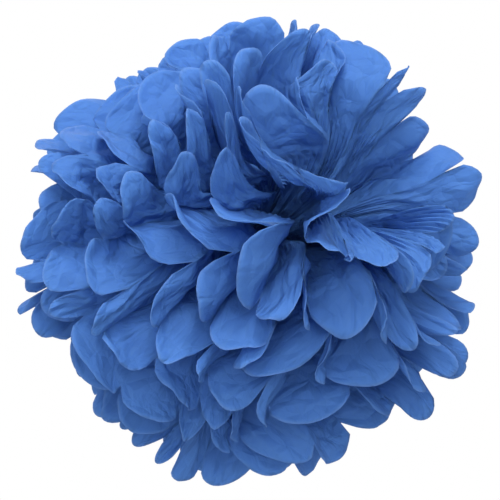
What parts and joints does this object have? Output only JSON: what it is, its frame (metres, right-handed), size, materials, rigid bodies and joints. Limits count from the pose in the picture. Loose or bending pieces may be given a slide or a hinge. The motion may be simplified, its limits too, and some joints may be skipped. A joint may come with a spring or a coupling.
{
  "type": "tissue paper pom pom",
  "caption": "Round hanging pom pom of blue tissue paper: stacked sheets pleated together, cinched at the middle by a twisted wire and fluffed into a ball of round petals.",
  "frame": {"origin": "middle of the wire tie, at the centre of the ball, where the pom pom hangs from", "axes": "+Z the way the pom pom hangs, along the axis that the pleats fan out round; X along the sheets' strips, from one half fan to the other; Y along the seam between the two halves"},
  "size_m": [0.2505, 0.2517, 0.2523],
  "materials": {
    "blue_tissue": "matt, thin and translucent paper",
    "green_wire": "satin"
  },
  "bodies": {
    "root": {"tissue_sheet_01": "blue_tissue", "tissue_sheet_02": "blue_tissue", "tissue_sheet_03": "blue_tissue", "tissue_sheet_04": "blue_tissue", "tissue_sheet_05": "blue_tissue", "tissue_sheet_06": "blue_tissue", "tissue_sheet_07": "blue_tissue", "tissue_sheet_08": "blue_tissue", "tissue_sheet_09": "blue_tissue", "tissue_sheet_10": "blue_tissue", "wire_tie": "green_wire"}
  },
  "joints": []
}
